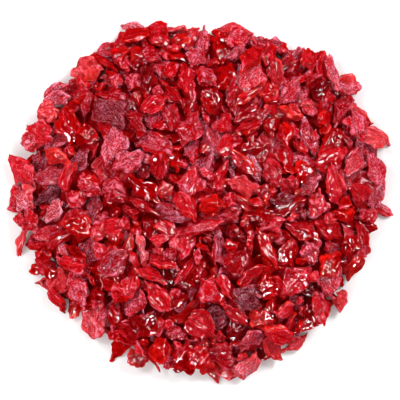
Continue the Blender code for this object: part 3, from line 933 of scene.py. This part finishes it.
class Shader:
    """A material and its nodes, with a short call for each kind of node that is needed."""

    def __init__(self, name):
        self.material = bpy.data.materials.new(name)
        self.material.use_nodes = True
        self.tree = self.material.node_tree

    def feed(self, sockets, values):
        """Puts numbers and colours into sockets, by name or number, and links other nodes' outputs."""
        for key, value in values.items():
            if isinstance(value, Socket):
                self.tree.links.new(value, sockets[key])
            elif sockets[key].type == "RGBA":
                sockets[key].default_value = (*value, 1.0)
            else:
                sockets[key].default_value = value

    def set_surface(self, values):
        """Feeds the sockets of the material's surface."""
        self.feed(self.tree.nodes["Principled BSDF"].inputs, values)

    def node(self, kind, values=None, **settings):
        """A new node of this kind, with its settings, and what goes into its sockets."""
        made = self.tree.nodes.new(kind)
        for key, setting in settings.items():
            setattr(made, key, setting)
        self.feed(made.inputs, values or {})
        return made

    def attribute(self, name, output="Fac"):
        """What the mesh's points carry under this name."""
        return self.node("ShaderNodeAttribute", attribute_name=name).outputs[output]

    def noise(self, where, scale, detail, roughness=0.5, stretch=1.0, noise_type="FBM"):
        """Noise over these places, whose bumps are 1 / scale across and 1 / stretch times as long."""
        mapped = self.node("ShaderNodeMapping", {"Vector": where, "Scale": (stretch, 1, 1)})
        values = {
            "Vector": mapped.outputs["Vector"],
            "Scale": scale,
            "Detail": detail,
            "Roughness": roughness,
        }
        return self.node("ShaderNodeTexNoise", values, noise_type=noise_type).outputs["Fac"]

    def between(self, value, span, results=WHOLE):
        """A value carried over from one span to another, and kept inside it."""
        ends = {"From Min": span[0], "From Max": span[1], "To Min": results[0], "To Max": results[1]}
        return self.node("ShaderNodeMapRange", {"Value": value, **ends}).outputs["Result"]

    def maths(self, operation, a, b):
        """The sum, product and so on of two values."""
        return self.node("ShaderNodeMath", {0: a, 1: b}, operation=operation).outputs["Value"]

    def ramp(self, stops, factor):
        """The colour at a place between (place, colour) stops."""
        made = self.node("ShaderNodeValToRGB", {"Fac": factor})
        elements = made.color_ramp.elements
        while len(elements) < len(stops):
            elements.new(0.5)
        for element, (place, colour) in zip(elements, stops):
            element.position = place
            element.color = (*colour, 1.0)
        return made.outputs["Color"]

    def mixed(self, factor, a, b, blend_type="MIX"):
        """Colour a, turned into colour b by the factor. A Mix node's colours are its inputs 6 and 7."""
        values = {0: factor, 6: a, 7: b}
        made = self.node("ShaderNodeMix", values, data_type="RGBA", blend_type=blend_type)
        return made.outputs[2]

    def tinted(self, a, b):
        """Colour a multiplied by b."""
        return self.mixed(1.0, a, b, blend_type="MULTIPLY")

    def relief(self, height, depth):
        """Normals that lean as those of a surface with this relief would."""
        values = {"Height": height, "Strength": 1.0, "Distance": depth}
        return self.node("ShaderNodeBump", values).outputs["Normal"]


class Masks(NamedTuple):
    """What a flesh is painted by, each the output of a node."""

    where: Socket  # the place on the bit
    tone: Socket
    rim: Socket
    ridge: Socket
    patches: Socket
    grain: Socket
    fibres: Socket
    dry: Socket  # from 0 on bare flesh to 1 on dusty flesh
    wet: Socket  # from 0 on satin flesh to 1 on wet flesh


def flesh_masks(shader, finish):
    """The patterns of a flesh, and where it is dusty and where wet."""
    where = shader.attribute("rest", "Vector")
    rim = shader.attribute("rim")
    patches = shader.noise(where, **PATCHES)
    grain = shader.noise(where, **GRAIN)
    own = shader.between(shader.attribute("shade"), WHOLE, SHADE_SWING)
    dryness = shader.maths("ADD", patches, own)
    dryness = shader.maths("SUBTRACT", dryness, shader.between(rim, RIM_RANGE, (0, RIM_WETNESS)))
    dryness = shader.maths("ADD", dryness, shader.between(grain, NOISE_RANGE, GRAIN_SWING))
    dust_edge = [edge - finish.dusty for edge in DUST_EDGE]
    return Masks(
        where=where,
        tone=shader.attribute("tone"),
        rim=rim,
        ridge=shader.attribute("ridge"),
        patches=patches,
        grain=grain,
        fibres=shader.noise(where, **FIBRES),
        dry=shader.between(dryness, dust_edge),
        wet=shader.between(dryness, (finish.wet - WET_EDGE, finish.wet), (1, 0)),
    )


def satin_colour(shader, masks, dust_and_sheen):
    """Red, with a painted sheen on the ridges, and pale specks that are partly dust and partly painted
    glints.
    """
    ridge_sheen = shader.between(masks.ridge, SATIN_LIT_RIDGES, (0, SATIN_RIDGE_SHEEN))
    speck_dust_and_glint = shader.between(masks.grain, SPECKS, (0, SPECK_DUST_AND_GLINT))
    colour = shader.mixed(ridge_sheen, shader.ramp(SATIN_REDS, masks.tone), dust_and_sheen)
    return shader.mixed(speck_dust_and_glint, colour, dust_and_sheen)


def wet_colour(shader, masks):
    """Deep red, streaked along the fibres, with painted shade in the middle and a painted glow of light
    coming through towards the rim.
    """
    painted_glow = shader.between(masks.rim, PAINTED_GLOW_RANGE)
    deep = shader.tinted(shader.ramp(DEEP_REDS, masks.tone), shader.between(painted_glow, WHOLE, PAINTED_SHADES))
    painted_glowing = shader.maths("MULTIPLY", painted_glow, PAINTED_GLOW_SHARE)
    colour = shader.mixed(painted_glowing, deep, shader.ramp(PAINTED_GLOWS, masks.tone))
    return shader.tinted(colour, shader.between(masks.fibres, NOISE_RANGE, WET_STREAKS))


def dusty_colour(shader, masks, dust_and_sheen, bare):
    """Red under pale dots, partly dust and partly painted glints, and a painted sheen on the ridges,
    with the bare flesh showing along the veins.
    """
    ridge_sheen = shader.between(masks.ridge, DUSTY_LIT_RIDGES, (0, RIDGE_SHEEN))
    dust_and_glint_dots = shader.maths("MAXIMUM", shader.between(masks.grain, DUST_AND_GLINT_DOTS), ridge_sheen)
    colour = shader.mixed(dust_and_glint_dots, shader.ramp(UNDER_DUST, masks.tone), dust_and_sheen)
    veins = shader.noise(masks.where, **VEINS)
    return shader.mixed(shader.between(veins, BARE_VEINS, (VEIN_BARENESS, 0)), colour, bare)


def dusty_pattern(shader, masks):
    """How bright dusty flesh is, which changes along its fibres and from patch to patch."""
    streaks = shader.between(masks.fibres, NOISE_RANGE, DUSTY_STREAKS)
    patches = shader.between(masks.patches, NOISE_RANGE, DUSTY_PATCHES)
    return shader.maths("MULTIPLY", streaks, patches)


def flesh_colour(shader, masks):
    """The flesh's colour: satin, wet or dusty, with painted shade in its creases and painted light on
    its ridges.
    """
    dust_and_sheen = shader.ramp(DUST_AND_SHEEN_COLOURS, masks.tone)
    bare = shader.mixed(masks.wet, satin_colour(shader, masks, dust_and_sheen), wet_colour(shader, masks))
    colour = shader.mixed(masks.dry, bare, dusty_colour(shader, masks, dust_and_sheen, bare))
    patterned = shader.tinted(colour, dusty_pattern(shader, masks))
    colour = shader.mixed(masks.dry, colour, patterned)
    # painted shade in the creases, painted light on the ridges
    crease_shade = shader.ramp(CREASE_SHADE_TINTS, shader.between(masks.ridge, CREASE_RANGE))
    return shader.tinted(colour, crease_shade)


def flesh_relief(shader, masks):
    """Fine fibres and grain, stronger where the flesh is dusty."""
    fibres = shader.maths("MULTIPLY", masks.fibres, shader.between(masks.dry, WHOLE, FIBRE_RELIEF))
    grain = shader.maths("MULTIPLY", masks.grain, shader.between(masks.dry, WHOLE, GRAIN_RELIEF))
    return shader.relief(shader.maths("ADD", fibres, grain), MM)


def film_weight(shader, masks):
    """How much film there is: some on all flesh, less on dusty and more on wet flesh."""
    thin = shader.between(masks.dry, WHOLE, FILM_WEIGHTS)
    thick = shader.between(masks.wet, WHOLE, (0, WET_FILM_WEIGHT))
    return shader.maths("ADD", thin, thick)


def film_relief(shader, masks):
    """The film's folds, with finer crinkles in patches."""
    folds = shader.noise(masks.where, **FILM_FOLDS)
    crinkled = shader.between(masks.patches, CRINKLED, (0, CRINKLE_SHARE))
    crinkles = shader.maths("MULTIPLY", shader.noise(masks.where, **FILM_CRINKLES), crinkled)
    return shader.relief(shader.maths("ADD", folds, crinkles), FILM_RELIEF)


def flesh(finish):
    """Sugared fruit flesh under a sticky film."""
    shader = Shader(finish.piece)
    masks = flesh_masks(shader, finish)
    shader.set_surface({
        **FLESH,
        **FILM,
        "Base Color": flesh_colour(shader, masks),
        "Roughness": shader.between(masks.dry, WHOLE, ROUGHNESSES),
        "Normal": flesh_relief(shader, masks),
        "Coat Weight": film_weight(shader, masks),
        "Coat Normal": film_relief(shader, masks),
    })
    return shader.material


def middle_material():
    """The inside of the heap: dark red as painted shade deep in the gaps, and darker in the hollows
    between its lumps.
    """
    shader = Shader("packed_middle")
    place = shader.node("ShaderNodeTexCoord").outputs["Object"]
    lumps = shader.noise(place, **MIDDLE_LUMPS)
    shader.set_surface({
        **MIDDLE,
        # painted shade: the middle is darker where its lumps are low
        "Base Color": shader.ramp(MIDDLE_SHADED_REDS, lumps),
        "Normal": shader.relief(lumps, MIDDLE_RELIEF),
    })
    return shader.material


# The stage


def white_floor():
    """A plain floor, which doesn't show in the film on the bits."""
    shader = Shader("floor")
    shader.set_surface(FLOOR)
    mesh = bpy.data.meshes.new("floor")
    corners = [(x * FLOOR_HALF, y * FLOOR_HALF, 0) for x, y in ((-1, -1), (1, -1), (1, 1), (-1, 1))]
    mesh.from_pydata(corners, [], [(0, 1, 2, 3)])
    floor = linked("floor", mesh, shader.material)
    floor.visible_glossy = False
    return floor


def add_softbox(softbox):
    """Hangs a square light round the heap and turns it to the middle of the floor."""
    light = bpy.data.lights.new(softbox.name, "AREA")
    light.shape = "SQUARE"
    light.size = softbox.size
    light.energy = softbox.power
    made = bpy.data.objects.new(softbox.name, light)
    azimuth, elevation = math.radians(softbox.azimuth), math.radians(softbox.elevation)
    flat = math.cos(elevation)
    towards = Vector((flat * math.cos(azimuth), flat * math.sin(azimuth), math.sin(elevation)))
    made.location = SOFTBOX_DISTANCE * towards
    made.rotation_euler = (-towards).to_track_quat("-Z", "Y").to_euler()
    made.visible_glossy = softbox.mirrored
    made.visible_diffuse = softbox.diffuse
    bpy.context.scene.collection.objects.link(made)


def pale_world():
    """Even white light from all round, which doesn't show in the film."""
    world = bpy.data.worlds.new("studio")
    world.use_nodes = True
    background = world.node_tree.nodes["Background"].inputs
    background["Color"].default_value = (1.0, 1.0, 1.0, 1.0)
    background["Strength"].default_value = WORLD_STRENGTH
    world.cycles_visibility.glossy = False
    bpy.context.scene.world = world


def overhead_camera():
    """The photograph's camera, which looks straight down."""
    camera = bpy.data.cameras.new("camera")
    camera.sensor_width = SENSOR_WIDTH
    camera.lens = SENSOR_WIDTH * CAMERA_HEIGHT / PHOTO_WIDTH
    made = bpy.data.objects.new("camera", camera)
    made.location = (0, HEAP_BELOW_CENTRE, CAMERA_HEIGHT)
    bpy.context.scene.collection.objects.link(made)
    bpy.context.scene.camera = made


# The scene

for piece in heap_pieces():
    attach(piece, "root")
    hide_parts("cranberry_heap")

white_floor()
pale_world()
for softbox in SOFTBOXES:
    add_softbox(softbox)
overhead_camera()
bpy.context.scene.view_settings.view_transform = "Standard"
